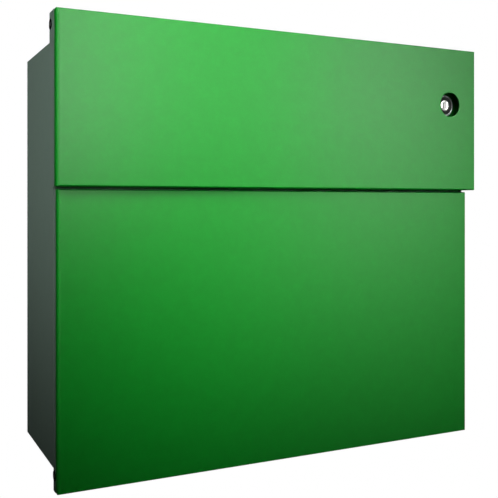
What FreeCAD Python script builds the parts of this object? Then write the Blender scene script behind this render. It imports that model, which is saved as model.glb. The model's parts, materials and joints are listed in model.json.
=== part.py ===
"""Wall mounted mailbox in folded sheet steel, one STEP file per separate piece.

Frame: X to the right, Y into the wall, Z up, millimetres. The origin is the centre of the four
wall fixing holes on the back face, which lies in the plane Y = 0. The front faces -Y.
The body hangs on the wall. The door hinges on two brackets below the body and carries the lock
and the mail slot. The flap hinges on two ears at the top of the door and covers the slot.
"""
import FreeCAD
import Part
import math
import os

# --- Driving dimensions, mm ---------------------------------------------------------------
# Body box
BODY_WIDTH = 388.0
BODY_HEIGHT = 324.0
BODY_DEPTH = 105.6
SIDE_LIP = 12.0  # inward lip along the front edge of each side wall
ROOF_LIP = 10.0
FLOOR_LIP = 14.0
LIP_NOTCH = 24.0  # height left open at the foot of each side lip for the hinge bracket
DRAIN_DIAMETER = 5.0
DRAIN_INSET = 30.0
FIXING_PITCH_X = 300.0
FIXING_PITCH_Z = 220.0
FIXING_DIAMETER = 7.0

# Sheet metal
SHEET = 1.2
BEND_RADIUS = 3.0  # outside radius where a front panel folds into its return
BODY_BEND_RADIUS = 1.0  # outside radius where a side wall folds into its lip
RETURN_DEPTH = 6.5  # depth of the folded edge of every front panel
SEAM = 0.15  # joint line between a front panel and the rail behind it
RAIL_LAP = 4.0  # how far a rail's inner lap runs on behind the joint line
RAIL_FLANGE = 9.0
REAR_FLANGE = 10.0

# Door and flap against the body
COVER_DROP = 16.5  # door below the body's floor
COVER_RISE = 19.5  # flap above the body's roof
DOOR_TOP_LAP = 2.0  # door above the body's roof
DOOR_GAP = 0.8  # body front to the door's rear edge
FLAP_HEIGHT = 131.0
FLAP_PROUD = 9.4  # flap face in front of the door face
FLAP_OVERHANG = 3.0  # flap wider than the door on each side
FLAP_GAP = 1.7  # flap bottom edge to the lower panel's top edge
PANEL_GAP = 2.0  # lower panel to upper panel

# Hinges
HINGE_EDGE = 4.0  # hinge line to the rear edge of door and flap
FLAP_PIVOT_DROP = 9.2  # flap hinge line below the flap's top
SWING_GAP = 0.4  # open door to the body's underside
PIN_DIAMETER = 3.6
PIN_HEAD_DIAMETER = 7.2
PIN_HEAD = 1.2
BUSH_DIAMETER = 5.0
BUSH_MARGIN = 0.45  # bush to the joint line in front of it
BUSH_HEAD_DIAMETER = 8.0
BUSH_HEAD = 0.5
BUSH_COLLAR_DIAMETER = 7.2
RUNNING_CLEARANCE = 0.05  # radial, pin in bush and plug in barrel
SIDE_CLEARANCE = 0.3  # end play beside each bush
EAR_CLEARANCE = 2.0  # hinge ear to the inside of the flap's top
LUG_REACH = 4.4  # stop lug behind the door's rear edge
LUG_DROP = 1.9  # stop lug's upper face below the flap hinge line
LUG_HEIGHT = 3.1
BRACKET_SHEET = 2.0
BRACKET_INSET = 2.8  # bracket's outer face to the inside of the door's side
BRACKET_RISE = 20.0  # bracket above the body's floor
BRACKET_REACH = 34.0  # bracket into the body
BRACKET_FOOT = 14.0
BRACKET_NOSE = 10.0  # slope that takes off the bracket's upper front corner
FOOT_SETBACK = 5.5  # bracket foot behind the front opening
RIVET_FRONT = 12.0  # rivets behind the front opening
RIVET_REAR = 25.5
RIVET_DIAMETER = 3.2
RIVET_HEAD_DIAMETER = 6.0
RIVET_HEAD = 0.9

# Mail slot
SLOT_SIDE_MARGIN = 30.5
SLOT_RISE = 16.0  # slot above the upper panel's bottom edge
SLOT_BELOW_LOCK = 27.7  # slot's top edge below the lock axis
TRIM_WALL = 1.2
TRIM_FLANGE = 4.0
TRIM_PROUD = 1.0
TRIM_CLEARANCE = 0.2

# Lock
LOCK_INSET = 27.4  # lock axis to the door's right edge
LOCK_DROP = 52.0  # lock axis below the flap's top
ACCESS_CLEARANCE = 1.2  # flap's hole round the lock head, radial
LOCK_HEAD_RIM = 1.0  # lock head beyond its barrel, radial
LOCK_HEAD = 2.2
BARREL_DIAMETER = 18.0
BARREL_CLEARANCE = 0.2
LOCK_RING_DIAMETER = 16.0
LOCK_RING = 1.0
PLUG_DIAMETER = 10.0
PLUG_PROUD = 0.3
PLUG_SQUARE = 6.0
SQUARE_CLEARANCE = 0.05
KEYWAY_WIDTH = 2.0
KEYWAY_HEIGHT = 7.0
KEYWAY_DEPTH = 12.0
LOCK_NUT_WALL = 3.0
LOCK_NUT = 3.0
CAM_SHEET = 2.0
CAM_WIDTH = 14.0
CAM_GAP = 0.5  # cam behind the side lip, and barrel end to cam
CAM_TIP_GAP = 2.2  # cam tip to the side wall when locked
CAM_SCREW_DIAMETER = 4.0
CAM_SCREW_HEAD_DIAMETER = 7.5
CAM_SCREW_HEAD = 2.4
CAM_SCREW_LENGTH = 6.0
CAM_SLOT = 0.8  # width of the cross slot in the screw's head
CAM_SLOT_LENGTH = 5.0
CAM_TIP_RADIUS = 3.5

# Small hardware
STUD_DIAMETER = 3.0
STUD_LENGTH = 6.0
STUD_CLEARANCE = 0.2
STUD_NUT_FLATS = 5.5
STUD_NUT = 2.4
STUD_END_INSET = 42.0
STUD_ROWS_LOWER = 3
STUD_ROWS_UPPER = 2
STUD_ROWS_FLAP = 2
PAD_DIAMETER = 8.0
PAD_CLEARANCE = 0.3
DOOR_PAD_INSET = 50.0
FLAP_PAD_INSET = 22.0

# --- Planes worked out from them ----------------------------------------------------------
DOOR_DEPTH = RETURN_DEPTH + SEAM + BUSH_MARGIN + BUSH_DIAMETER / 2 + HINGE_EDGE
LOCK_HEAD_DIAMETER = BARREL_DIAMETER + 2 * LOCK_HEAD_RIM
ACCESS_DIAMETER = LOCK_HEAD_DIAMETER + 2 * ACCESS_CLEARANCE
LOCK_NUT_FLATS = BARREL_DIAMETER + 2 * LOCK_NUT_WALL

X_SIDE = BODY_WIDTH / 2
X_FLAP = X_SIDE + FLAP_OVERHANG
X_BRACKET = X_SIDE - SHEET - BRACKET_INSET
X_LOCK = X_SIDE - LOCK_INSET

Y_BODY = -BODY_DEPTH
Y_DOOR_REAR = Y_BODY - DOOR_GAP
Y_DOOR = Y_DOOR_REAR - DOOR_DEPTH
Y_FLAP = Y_DOOR - FLAP_PROUD
Y_HINGE = Y_DOOR_REAR - HINGE_EDGE
Y_CAM = Y_BODY + SHEET + CAM_GAP
Y_BARREL_END = Y_CAM - CAM_GAP

Z_FLOOR = -BODY_HEIGHT / 2
Z_ROOF = BODY_HEIGHT / 2
Z_BOTTOM = Z_FLOOR - COVER_DROP
Z_TOP = Z_ROOF + COVER_RISE
Z_FLAP = Z_TOP - FLAP_HEIGHT
Z_LOWER_TOP = Z_FLAP - FLAP_GAP
Z_UPPER = Z_LOWER_TOP + PANEL_GAP
Z_DOOR_TOP = Z_ROOF + DOOR_TOP_LAP
Z_FLAP_HINGE = Z_TOP - FLAP_PIVOT_DROP
Z_DOOR_HINGE = Z_FLOOR - HINGE_EDGE - SWING_GAP
Z_LOCK = Z_TOP - LOCK_DROP
Z_SLOT = Z_UPPER + SLOT_RISE
Z_SLOT_TOP = Z_LOCK - SLOT_BELOW_LOCK

EAR_RADIUS = FLAP_PIVOT_DROP - SHEET - EAR_CLEARANCE
BRACKET_BOSS = HINGE_EDGE + DOOR_GAP - SIDE_CLEARANCE
X_SLOT = X_SIDE - SLOT_SIDE_MARGIN
SIDES = (("left", -1), ("right", 1))
AXIS_Y = FreeCAD.Vector(0, 1, 0)
AXIS_Z = FreeCAD.Vector(0, 0, 1)
TINY = 0.001  # for picking edges by place
OVERRUN = 1.0  # how far a cutting tool runs on past the face it leaves


# --- Basic shapes -------------------------------------------------------------------------
def block(x0, x1, y0, y1, z0, z1):
    """A box between two values on each axis, given in either order."""
    low = FreeCAD.Vector(min(x0, x1), min(y0, y1), min(z0, z1))
    return Part.makeBox(abs(x1 - x0), abs(y1 - y0), abs(z1 - z0), low)


def rod_x(radius, x0, x1, y, z):
    """A cylinder along X."""
    start = FreeCAD.Vector(min(x0, x1), y, z)
    return Part.makeCylinder(radius, abs(x1 - x0), start, FreeCAD.Vector(1, 0, 0))


def rod_y(radius, x, y0, y1, z):
    """A cylinder along Y."""
    start = FreeCAD.Vector(x, min(y0, y1), z)
    return Part.makeCylinder(radius, abs(y1 - y0), start, FreeCAD.Vector(0, 1, 0))


def rod_z(radius, x, y, z0, z1):
    """A cylinder along Z."""
    start = FreeCAD.Vector(x, y, min(z0, z1))
    return Part.makeCylinder(radius, abs(z1 - z0), start, FreeCAD.Vector(0, 0, 1))


def drill_x(diameter, x0, x1, y, z):
    """A cutting cylinder along X that runs on past both ends."""
    return rod_x(diameter / 2, min(x0, x1) - OVERRUN, max(x0, x1) + OVERRUN, y, z)


def drill_y(diameter, x, y0, y1, z):
    """A cutting cylinder along Y that runs on past both ends."""
    return rod_y(diameter / 2, x, min(y0, y1) - OVERRUN, max(y0, y1) + OVERRUN, z)


def drill_z(diameter, x, y, z0, z1):
    """A cutting cylinder along Z that runs on past both ends."""
    return rod_z(diameter / 2, x, y, min(z0, z1) - OVERRUN, max(z0, z1) + OVERRUN)


def hexagon_y(flats, x, y0, y1, z):
    """A hexagonal prism along Y with two flats facing sideways."""
    corner = flats / math.sqrt(3)
    points = []
    for step in range(7):
        angle = math.radians(60 * step + 30)
        points.append(FreeCAD.Vector(x + corner * math.cos(angle), y0, z + corner * math.sin(angle)))
    face = Part.Face(Part.makePolygon(points))
    return face.extrude(FreeCAD.Vector(0, y1 - y0, 0))


def join(first, *others):
    """One solid from touching or overlapping pieces, with coplanar faces merged."""
    return first.fuse(list(others)).removeSplitter()


def group(solids):
    """Several separate solids that share one node."""
    return Part.makeCompound(solids)


def edges_along(shape, axis, keep):
    """Straight edges parallel to an axis whose middle point passes the keep test."""
    found = []
    for edge in shape.Edges:
        if len(edge.Vertexes) != 2:
            continue
        run = edge.Vertexes[1].Point - edge.Vertexes[0].Point
        if run.Length > 0 and abs(abs(run.dot(axis)) - run.Length) < TINY and keep(edge.CenterOfMass):
            found.append(edge)
    return found


def folded_block(x_half, y0, y1, z0, z1, radius):
    """A box whose four front edges are rounded, with the two bends meeting in a mitre."""
    solid = block(-x_half, x_half, y0, y1, z0, z1)
    front = [edge for edge in solid.Edges if edge.BoundBox.YMax < y0 + TINY]
    return solid.makeFillet(radius, front)


def front_tray(x_half, y_face, z0, z1):
    """A front panel: a face sheet with all four edges folded back by RETURN_DEPTH."""
    outer = folded_block(x_half, y_face, y_face + RETURN_DEPTH, z0, z1, BEND_RADIUS)
    inner = folded_block(x_half - SHEET, y_face + SHEET, y_face + RETURN_DEPTH + OVERRUN,
                         z0 + SHEET, z1 - SHEET, BEND_RADIUS - SHEET)
    return outer.cut(inner)


def angle_outline(y_face, y_end):
    """An angle that lines the inside of a folded edge, as pairs of inset from the edge and Y."""
    tip = BEND_RADIUS + RAIL_FLANGE
    return [(SHEET, y_end), (SHEET, y_face + BEND_RADIUS), (BEND_RADIUS, y_face + SHEET),
            (tip, y_face + SHEET), (tip, y_face + 2 * SHEET), (BEND_RADIUS, y_face + 2 * SHEET),
            (2 * SHEET, y_face + BEND_RADIUS), (2 * SHEET, y_end)]


def upright_angle(side, x_out, y_face, y_end, z0, z1):
    """The lining angle of a side edge, from z0 to z1."""
    points = [FreeCAD.Vector(side * (x_out - inset), y, z0) for inset, y in angle_outline(y_face, y_end)]
    face = Part.Face(Part.makePolygon(points + points[:1]))
    return face.extrude(FreeCAD.Vector(0, 0, z1 - z0))


def cross_angle(x_out, y_face, y_end, z_edge, up):
    """The lining angle of a top or bottom edge; its front flange stops short of the side angles."""
    x_flange = x_out - BEND_RADIUS - RAIL_FLANGE
    outline = angle_outline(y_face, y_end)
    points = [FreeCAD.Vector(-x_flange, y, z_edge + up * inset) for inset, y in outline]
    face = Part.Face(Part.makePolygon(points + points[:1]))
    angle = face.extrude(FreeCAD.Vector(2 * x_flange, 0, 0))
    x_lap = x_out - SHEET
    lap = block(-x_lap, x_lap, y_face + BEND_RADIUS, y_end, z_edge + up * SHEET, z_edge + 2 * up * SHEET)
    return join(angle, lap)


# --- Body ---------------------------------------------------------------------------------
def back_panel():
    plate = block(-X_SIDE + SHEET, X_SIDE - SHEET, -SHEET, 0, Z_FLOOR + SHEET, Z_ROOF - SHEET)
    holes = []
    for x in (-FIXING_PITCH_X / 2, FIXING_PITCH_X / 2):
        for z in (-FIXING_PITCH_Z / 2, FIXING_PITCH_Z / 2):
            holes.append(drill_y(FIXING_DIAMETER, x, -SHEET, 0, z))
    return plate.cut(holes)


def side_wall(side):
    wall = block(side * (X_SIDE - SHEET), side * X_SIDE, Y_BODY, 0, Z_FLOOR, Z_ROOF)
    lip = block(side * (X_SIDE - SHEET - SIDE_LIP), side * (X_SIDE - SHEET), Y_BODY, Y_BODY + SHEET,
                Z_FLOOR + LIP_NOTCH, Z_ROOF - SHEET)
    solid = join(wall, lip)
    fold = edges_along(solid, AXIS_Z, lambda p: abs(p.x) > X_SIDE - TINY and p.y < Y_BODY + TINY)
    return solid.makeFillet(BODY_BEND_RADIUS, fold)


def roof_panel():
    inner = X_SIDE - SHEET
    sheet = block(-inner, inner, Y_BODY, 0, Z_ROOF - SHEET, Z_ROOF)
    lip = block(-inner + SIDE_LIP, inner - SIDE_LIP, Y_BODY, Y_BODY + SHEET,
                Z_ROOF - SHEET - ROOF_LIP, Z_ROOF - SHEET)
    return join(sheet, lip)


def floor_panel():
    inner = X_SIDE - SHEET
    sheet = block(-inner, inner, Y_BODY, 0, Z_FLOOR, Z_FLOOR + SHEET)
    lip = block(-inner + SIDE_LIP, inner - SIDE_LIP, Y_BODY, Y_BODY + SHEET,
                Z_FLOOR + SHEET, Z_FLOOR + SHEET + FLOOR_LIP)
    holes = []
    for side in (-1, 1):
        x_drain = side * (inner - SIDE_LIP - DRAIN_INSET)
        for y_drain in (Y_BODY + DRAIN_INSET, -DRAIN_INSET):
            holes.append(drill_z(DRAIN_DIAMETER, x_drain, y_drain, Z_FLOOR, Z_FLOOR + SHEET))
    for x, y in bracket_rivet_points():
        holes.append(drill_z(RIVET_DIAMETER, x, y, Z_FLOOR, Z_FLOOR + SHEET))
    return join(sheet, lip).cut(holes)


# --- Door hinge ---------------------------------------------------------------------------
def bracket_rivet_points():
    """The two rivets through each bracket foot."""
    points = []
    for side in (-1, 1):
        x = side * (X_BRACKET - BRACKET_SHEET - BRACKET_FOOT / 2)
        for setback in (RIVET_FRONT, RIVET_REAR):
            points.append((x, Y_BODY + setback))
    return points


def hinge_bracket(side):
    """A plate that stands on the floor, runs out of the front opening and down to the hinge pin."""
    z_seat = Z_FLOOR + SHEET
    y_front = Y_HINGE - BRACKET_BOSS
    y_rear = Y_BODY + BRACKET_REACH
    y_back = Y_HINGE + BRACKET_BOSS
    z_high = z_seat + BRACKET_RISE

    def at(y, z):
        return FreeCAD.Vector(0, y, z)

    boss = Part.Arc(at(y_back, Z_DOOR_HINGE), at(Y_HINGE, Z_DOOR_HINGE - BRACKET_BOSS),
                    at(y_front, Z_DOOR_HINGE)).toShape()
    corners = [at(y_front, Z_DOOR_HINGE), at(y_front, z_high - BRACKET_NOSE),
               at(y_front + BRACKET_NOSE, z_high), at(y_rear, z_high), at(y_rear, z_seat),
               at(y_back, z_seat), at(y_back, Z_DOOR_HINGE)]
    outline = [boss]
    for start, end in zip(corners, corners[1:]):
        outline.append(Part.makeLine(start, end))
    x_inner = side * (X_BRACKET - BRACKET_SHEET)
    face = Part.Face(Part.Wire(outline))
    face.translate(FreeCAD.Vector(x_inner, 0, 0))
    plate = face.extrude(FreeCAD.Vector(side * BRACKET_SHEET, 0, 0))
    foot = block(x_inner, x_inner - side * BRACKET_FOOT, Y_BODY + FOOT_SETBACK, y_rear,
                 z_seat, z_seat + BRACKET_SHEET)
    solid = join(plate, foot)
    holes = [drill_x(PIN_DIAMETER, x_inner, side * X_BRACKET, Y_HINGE, Z_DOOR_HINGE)]
    for x, y in bracket_rivet_points():
        holes.append(drill_z(RIVET_DIAMETER, x, y, z_seat, z_seat + BRACKET_SHEET))
    return solid.cut(holes)


def bracket_rivets():
    z_seat = Z_FLOOR + SHEET
    z_up = z_seat + BRACKET_SHEET
    rivets = []
    for x, y in bracket_rivet_points():
        shank = rod_z(RIVET_DIAMETER / 2, x, y, Z_FLOOR, z_up)
        upper = rod_z(RIVET_HEAD_DIAMETER / 2, x, y, z_up, z_up + RIVET_HEAD)
        lower = rod_z(RIVET_HEAD_DIAMETER / 2, x, y, Z_FLOOR - RIVET_HEAD, Z_FLOOR)
        rivets.append(join(shank, upper, lower))
    return group(rivets)


def hinge_pins(x_seat, x_out, z):
    """Two pins headed on the inner face at x_seat, with ends level with the bush at x_out."""
    pins = []
    for side in (-1, 1):
        shank = rod_x(PIN_DIAMETER / 2, side * (x_seat - PIN_HEAD), side * (x_out + BUSH_HEAD), Y_HINGE, z)
        head = rod_x(PIN_HEAD_DIAMETER / 2, side * (x_seat - PIN_HEAD), side * x_seat, Y_HINGE, z)
        pins.append(join(head, shank))
    return group(pins)


def hinge_bushes(x_out, x_stop, z):
    """Two snap-in bushes in the sheet whose outer face is x_out, with a collar towards x_stop."""
    bushes = []
    for side in (-1, 1):
        head = rod_x(BUSH_HEAD_DIAMETER / 2, side * x_out, side * (x_out + BUSH_HEAD), Y_HINGE, z)
        sleeve = rod_x(BUSH_DIAMETER / 2, side * (x_out - SHEET), side * x_out, Y_HINGE, z)
        collar = rod_x(BUSH_COLLAR_DIAMETER / 2, side * (x_stop + SIDE_CLEARANCE),
                       side * (x_out - SHEET), Y_HINGE, z)
        bore = drill_x(PIN_DIAMETER + 2 * RUNNING_CLEARANCE, side * x_stop,
                       side * (x_out + BUSH_HEAD), Y_HINGE, z)
        bushes.append(join(sleeve, head, collar).cut(bore))
    return group(bushes)


# --- Door ---------------------------------------------------------------------------------
def lower_front_panel():
    return front_tray(X_SIDE, Y_DOOR, Z_BOTTOM, Z_LOWER_TOP)


def upper_front_panel():
    tray = front_tray(X_SIDE, Y_DOOR, Z_UPPER, Z_DOOR_TOP)
    slot = block(-X_SLOT, X_SLOT, Y_DOOR - OVERRUN, Y_DOOR + SHEET + OVERRUN, Z_SLOT, Z_SLOT_TOP)
    lock_hole = drill_y(BARREL_DIAMETER + 2 * BARREL_CLEARANCE, X_LOCK, Y_DOOR, Y_DOOR + SHEET, Z_LOCK)
    return tray.cut([slot, lock_hole])


def door_stud_points():
    """Studs behind the side edges of both door panels."""
    x = X_SIDE - BEND_RADIUS - RAIL_FLANGE / 2
    points = []
    for z0, z1, rows in ((Z_BOTTOM, Z_LOWER_TOP, STUD_ROWS_LOWER), (Z_UPPER, Z_DOOR_TOP, STUD_ROWS_UPPER)):
        for row in range(rows):
            z = z0 + STUD_END_INSET + (z1 - z0 - 2 * STUD_END_INSET) * row / (rows - 1)
            points.append((-x, z))
            points.append((x, z))
    return points


def flap_stud_points():
    """Studs behind the side edges of the flap panel."""
    x = X_FLAP - BEND_RADIUS - RAIL_FLANGE / 2
    points = []
    for row in range(STUD_ROWS_FLAP):
        z = Z_FLAP + STUD_END_INSET + (FLAP_HEIGHT - 2 * STUD_END_INSET) * row / (STUD_ROWS_FLAP - 1)
        points.append((-x, z))
        points.append((x, z))
    return points


def stud_holes(points, y_face):
    """Clearance holes for the studs in a rail's front flange."""
    diameter = STUD_DIAMETER + 2 * STUD_CLEARANCE
    return [drill_y(diameter, x, y_face + SHEET, y_face + 2 * SHEET, z) for x, z in points]


def studs(points, y_face):
    y0 = y_face + SHEET
    return group([rod_y(STUD_DIAMETER / 2, x, y0, y0 + STUD_LENGTH, z) for x, z in points])


def stud_nuts(points, y_face):
    nuts = []
    for x, z in points:
        y0 = y_face + 2 * SHEET
        prism = hexagon_y(STUD_NUT_FLATS, x, y0, y0 + STUD_NUT, z)
        nuts.append(prism.cut(drill_y(STUD_DIAMETER, x, y0, y0 + STUD_NUT, z)))
    return group(nuts)


def side_section(side, x_out, y_face, z0, z1):
    """An upright rail: a strip behind the joint line and the lining angle inside the panel."""
    y_seam = y_face + RETURN_DEPTH + SEAM
    strip = block(side * (x_out - SHEET), side * x_out, y_seam, Y_DOOR_REAR, z0, z1)
    angle = upright_angle(side, x_out, y_face, y_seam + RAIL_LAP, z0 + BEND_RADIUS, z1 - BEND_RADIUS)
    return join(strip, angle)


def hinge_ear(side):
    """The rounded ear above a door rail, with a stop lug behind it that limits the flap."""
    x0 = side * (X_SIDE - SHEET)
    x1 = side * X_SIDE
    head = rod_x(EAR_RADIUS, x0, x1, Y_HINGE, Z_FLAP_HINGE)
    neck = block(x0, x1, Y_DOOR + RETURN_DEPTH + SEAM, Y_DOOR_REAR, Z_DOOR_TOP - 2 * SHEET, Z_FLAP_HINGE)
    z_lug = Z_FLAP_HINGE - LUG_DROP
    lug = block(x0, x1, Y_HINGE, Y_DOOR_REAR + LUG_REACH, z_lug - LUG_HEIGHT, z_lug)
    return join(head, neck, lug)


def door_side_rail(side):
    rail = side_section(side, X_SIDE, Y_DOOR, Z_BOTTOM, Z_DOOR_TOP)
    inner = side * (X_SIDE - SHEET)
    rear = block(inner, inner - side * REAR_FLANGE, Y_DOOR_REAR - SHEET, Y_DOOR_REAR,
                 Z_FLOOR + LIP_NOTCH, Z_DOOR_TOP - SHEET)
    rail = join(rail, rear, hinge_ear(side))
    y_seam = Y_DOOR + RETURN_DEPTH + SEAM
    outer = side * X_SIDE
    panel_joint = block(side * (X_SIDE - BEND_RADIUS - RAIL_FLANGE - OVERRUN), outer + side * OVERRUN,
                        Y_DOOR, y_seam, Z_LOWER_TOP - BEND_RADIUS, Z_UPPER + BEND_RADIUS)
    bush_hole = drill_x(BUSH_DIAMETER, inner, outer, Y_HINGE, Z_DOOR_HINGE)
    collar_hole = rod_x(BUSH_COLLAR_DIAMETER / 2 + BARREL_CLEARANCE, inner, inner - 2 * side * SHEET,
                        Y_HINGE, Z_DOOR_HINGE)
    pin_hole = drill_x(PIN_DIAMETER, inner, outer, Y_HINGE, Z_FLAP_HINGE)
    holes = [panel_joint, bush_hole, collar_hole, pin_hole]
    return rail.cut(holes + stud_holes(door_stud_points(), Y_DOOR))


def door_cross_rail(z_edge, up):
    """The top or bottom rail: z_edge is its outer face and up is the direction into the door."""
    y_seam = Y_DOOR + RETURN_DEPTH + SEAM
    x_strip = X_SIDE - SHEET
    z1 = z_edge + up * SHEET
    strip = block(-x_strip, x_strip, y_seam, Y_DOOR_REAR, z_edge, z1)
    x_lap = X_SIDE - 2 * SHEET
    z_inside = z_edge + up * (BEND_RADIUS + RAIL_FLANGE + OVERRUN)
    inside = block(-x_lap, x_lap, Y_DOOR, Y_DOOR_REAR, z_edge, z_inside)
    angle = cross_angle(X_SIDE, Y_DOOR, y_seam + RAIL_LAP, z_edge, up).common(inside)
    x_rear = x_strip - REAR_FLANGE
    rear = block(-x_rear, x_rear, Y_DOOR_REAR - SHEET, Y_DOOR_REAR, z1, z1 + up * REAR_FLANGE)
    return join(strip, angle, rear)


def door_middle_rail():
    """A channel behind the joint between the two door panels, open to the front."""
    y_seam = Y_DOOR + RETURN_DEPTH + SEAM
    x_lap = X_SIDE - 2 * SHEET
    z0 = Z_LOWER_TOP - 2 * SHEET
    z1 = Z_UPPER + 2 * SHEET
    web = block(-x_lap, x_lap, y_seam, y_seam + SHEET, z0, z1)
    lower = block(-x_lap, x_lap, Y_DOOR + BEND_RADIUS, y_seam, z0, z0 + SHEET)
    upper = block(-x_lap, x_lap, Y_DOOR + BEND_RADIUS, y_seam, z1 - SHEET, z1)
    return join(web, lower, upper)


def mail_slot_trim():
    """A rectangular liner with a flat flange on the panel's face."""
    x1 = X_SLOT - TRIM_CLEARANCE
    z0 = Z_SLOT + TRIM_CLEARANCE
    z1 = Z_SLOT_TOP - TRIM_CLEARANCE
    flange = block(-x1 - TRIM_FLANGE, x1 + TRIM_FLANGE, Y_DOOR - TRIM_PROUD, Y_DOOR, z0 - TRIM_FLANGE,
                   z1 + TRIM_FLANGE)
    sleeve = block(-x1, x1, Y_DOOR - TRIM_PROUD, Y_DOOR_REAR, z0, z1)
    opening = block(-x1 + TRIM_WALL, x1 - TRIM_WALL, Y_DOOR - TRIM_PROUD - OVERRUN,
                    Y_DOOR_REAR + OVERRUN, z0 + TRIM_WALL, z1 - TRIM_WALL)
    return join(flange, sleeve).cut(opening)


def flap_bumpers():
    """Two pads on the upper panel that the flap comes to rest on."""
    y_tip = Y_FLAP + RETURN_DEPTH + PAD_CLEARANCE
    z = Z_FLAP + SHEET + RAIL_FLANGE / 2 + BEND_RADIUS
    x = X_SIDE - FLAP_PAD_INSET
    return group([rod_y(PAD_DIAMETER / 2, side * x, y_tip, Y_DOOR, z) for side in (-1, 1)])


def door_bumpers():
    """Four pads on the front lips of the side walls that the door closes against."""
    pads = []
    x = X_SIDE - SHEET - SIDE_LIP / 2
    for side in (-1, 1):
        for z in (Z_FLOOR + DOOR_PAD_INSET, Z_ROOF - DOOR_PAD_INSET):
            pads.append(rod_y(PAD_DIAMETER / 2, side * x, Y_DOOR_REAR + PAD_CLEARANCE, Y_BODY, z))
    return group(pads)


# --- Flap ---------------------------------------------------------------------------------
def flap_panel():
    tray = front_tray(X_FLAP, Y_FLAP, Z_FLAP, Z_TOP)
    return tray.cut(drill_y(ACCESS_DIAMETER, X_LOCK, Y_FLAP, Y_FLAP + SHEET, Z_LOCK))


def flap_cheek(side):
    cheek = side_section(side, X_FLAP, Y_FLAP, Z_FLAP, Z_TOP)
    bush_hole = drill_x(BUSH_DIAMETER, side * (X_FLAP - SHEET), side * X_FLAP, Y_HINGE, Z_FLAP_HINGE)
    return cheek.cut([bush_hole] + stud_holes(flap_stud_points(), Y_FLAP))


def flap_top_rail():
    y_seam = Y_FLAP + RETURN_DEPTH + SEAM
    x_strip = X_FLAP - SHEET
    strip = block(-x_strip, x_strip, y_seam, Y_DOOR_REAR, Z_TOP - SHEET, Z_TOP)
    return join(strip, cross_angle(X_FLAP, Y_FLAP, y_seam + RAIL_LAP, Z_TOP, -1))


def flap_bottom_rail():
    """A channel inside the flap's lower edge whose rear flange rests on the bumpers."""
    y_end = Y_FLAP + RETURN_DEPTH
    x_rear = X_FLAP - 2 * SHEET
    z0 = Z_FLAP + SHEET
    rear = block(-x_rear, x_rear, y_end - SHEET, y_end, z0, Z_FLAP + BEND_RADIUS + RAIL_FLANGE)
    return join(cross_angle(X_FLAP, Y_FLAP, y_end, Z_FLAP, 1), rear)


# --- Lock ---------------------------------------------------------------------------------
def lock_housing():
    head = rod_y(LOCK_HEAD_DIAMETER / 2, X_LOCK, Y_DOOR - LOCK_HEAD, Y_DOOR, Z_LOCK)
    barrel = rod_y(BARREL_DIAMETER / 2, X_LOCK, Y_DOOR - LOCK_HEAD, Y_BARREL_END, Z_LOCK)
    bore = drill_y(PLUG_DIAMETER + 2 * RUNNING_CLEARANCE, X_LOCK, Y_DOOR - LOCK_HEAD, Y_BARREL_END, Z_LOCK)
    recess = rod_y(LOCK_RING_DIAMETER / 2, X_LOCK, Y_DOOR - LOCK_HEAD - OVERRUN,
                   Y_DOOR - LOCK_HEAD + LOCK_RING, Z_LOCK)
    return join(head, barrel).cut([bore, recess])


def lock_ring():
    y0 = Y_DOOR - LOCK_HEAD
    ring = rod_y(LOCK_RING_DIAMETER / 2, X_LOCK, y0, y0 + LOCK_RING, Z_LOCK)
    bore = drill_y(PLUG_DIAMETER + 2 * RUNNING_CLEARANCE, X_LOCK, y0, y0 + LOCK_RING, Z_LOCK)
    return ring.cut(bore)


def lock_nut():
    y0 = Y_DOOR + SHEET
    prism = hexagon_y(LOCK_NUT_FLATS, X_LOCK, y0, y0 + LOCK_NUT, Z_LOCK)
    return prism.cut(drill_y(BARREL_DIAMETER, X_LOCK, y0, y0 + LOCK_NUT, Z_LOCK))


def lock_plug():
    y0 = Y_DOOR - LOCK_HEAD - PLUG_PROUD
    y_end = Y_CAM + CAM_SHEET
    barrel = rod_y(PLUG_DIAMETER / 2, X_LOCK, y0, Y_BARREL_END, Z_LOCK)
    half = PLUG_SQUARE / 2
    square = block(X_LOCK - half, X_LOCK + half, Y_BARREL_END, y_end, Z_LOCK - half, Z_LOCK + half)
    keyway = block(X_LOCK - KEYWAY_WIDTH / 2, X_LOCK + KEYWAY_WIDTH / 2, y0 - OVERRUN,
                   y0 + KEYWAY_DEPTH, Z_LOCK - KEYWAY_HEIGHT / 2, Z_LOCK + KEYWAY_HEIGHT / 2)
    thread = rod_y(CAM_SCREW_DIAMETER / 2, X_LOCK, y_end - CAM_SCREW_LENGTH, y_end + OVERRUN, Z_LOCK)
    return join(barrel, square).cut([keyway, thread])


def lock_cam():
    """The locking tongue, stored hanging down; a quarter turn takes it behind the side lip."""
    reach = LOCK_INSET - SHEET - CAM_TIP_GAP
    y1 = Y_CAM + CAM_SHEET
    half = PLUG_SQUARE / 2 + SQUARE_CLEARANCE
    tongue = block(X_LOCK - CAM_WIDTH / 2, X_LOCK + CAM_WIDTH / 2, Y_CAM, y1, Z_LOCK - reach, Z_LOCK)
    tip = edges_along(tongue, AXIS_Y, lambda p: p.z < Z_LOCK - reach + TINY)
    tongue = tongue.makeFillet(CAM_TIP_RADIUS, tip)
    eye = rod_y(CAM_WIDTH / 2, X_LOCK, Y_CAM, y1, Z_LOCK)
    square = block(X_LOCK - half, X_LOCK + half, Y_CAM - OVERRUN, y1 + OVERRUN, Z_LOCK - half, Z_LOCK + half)
    return join(tongue, eye).cut(square)


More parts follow.
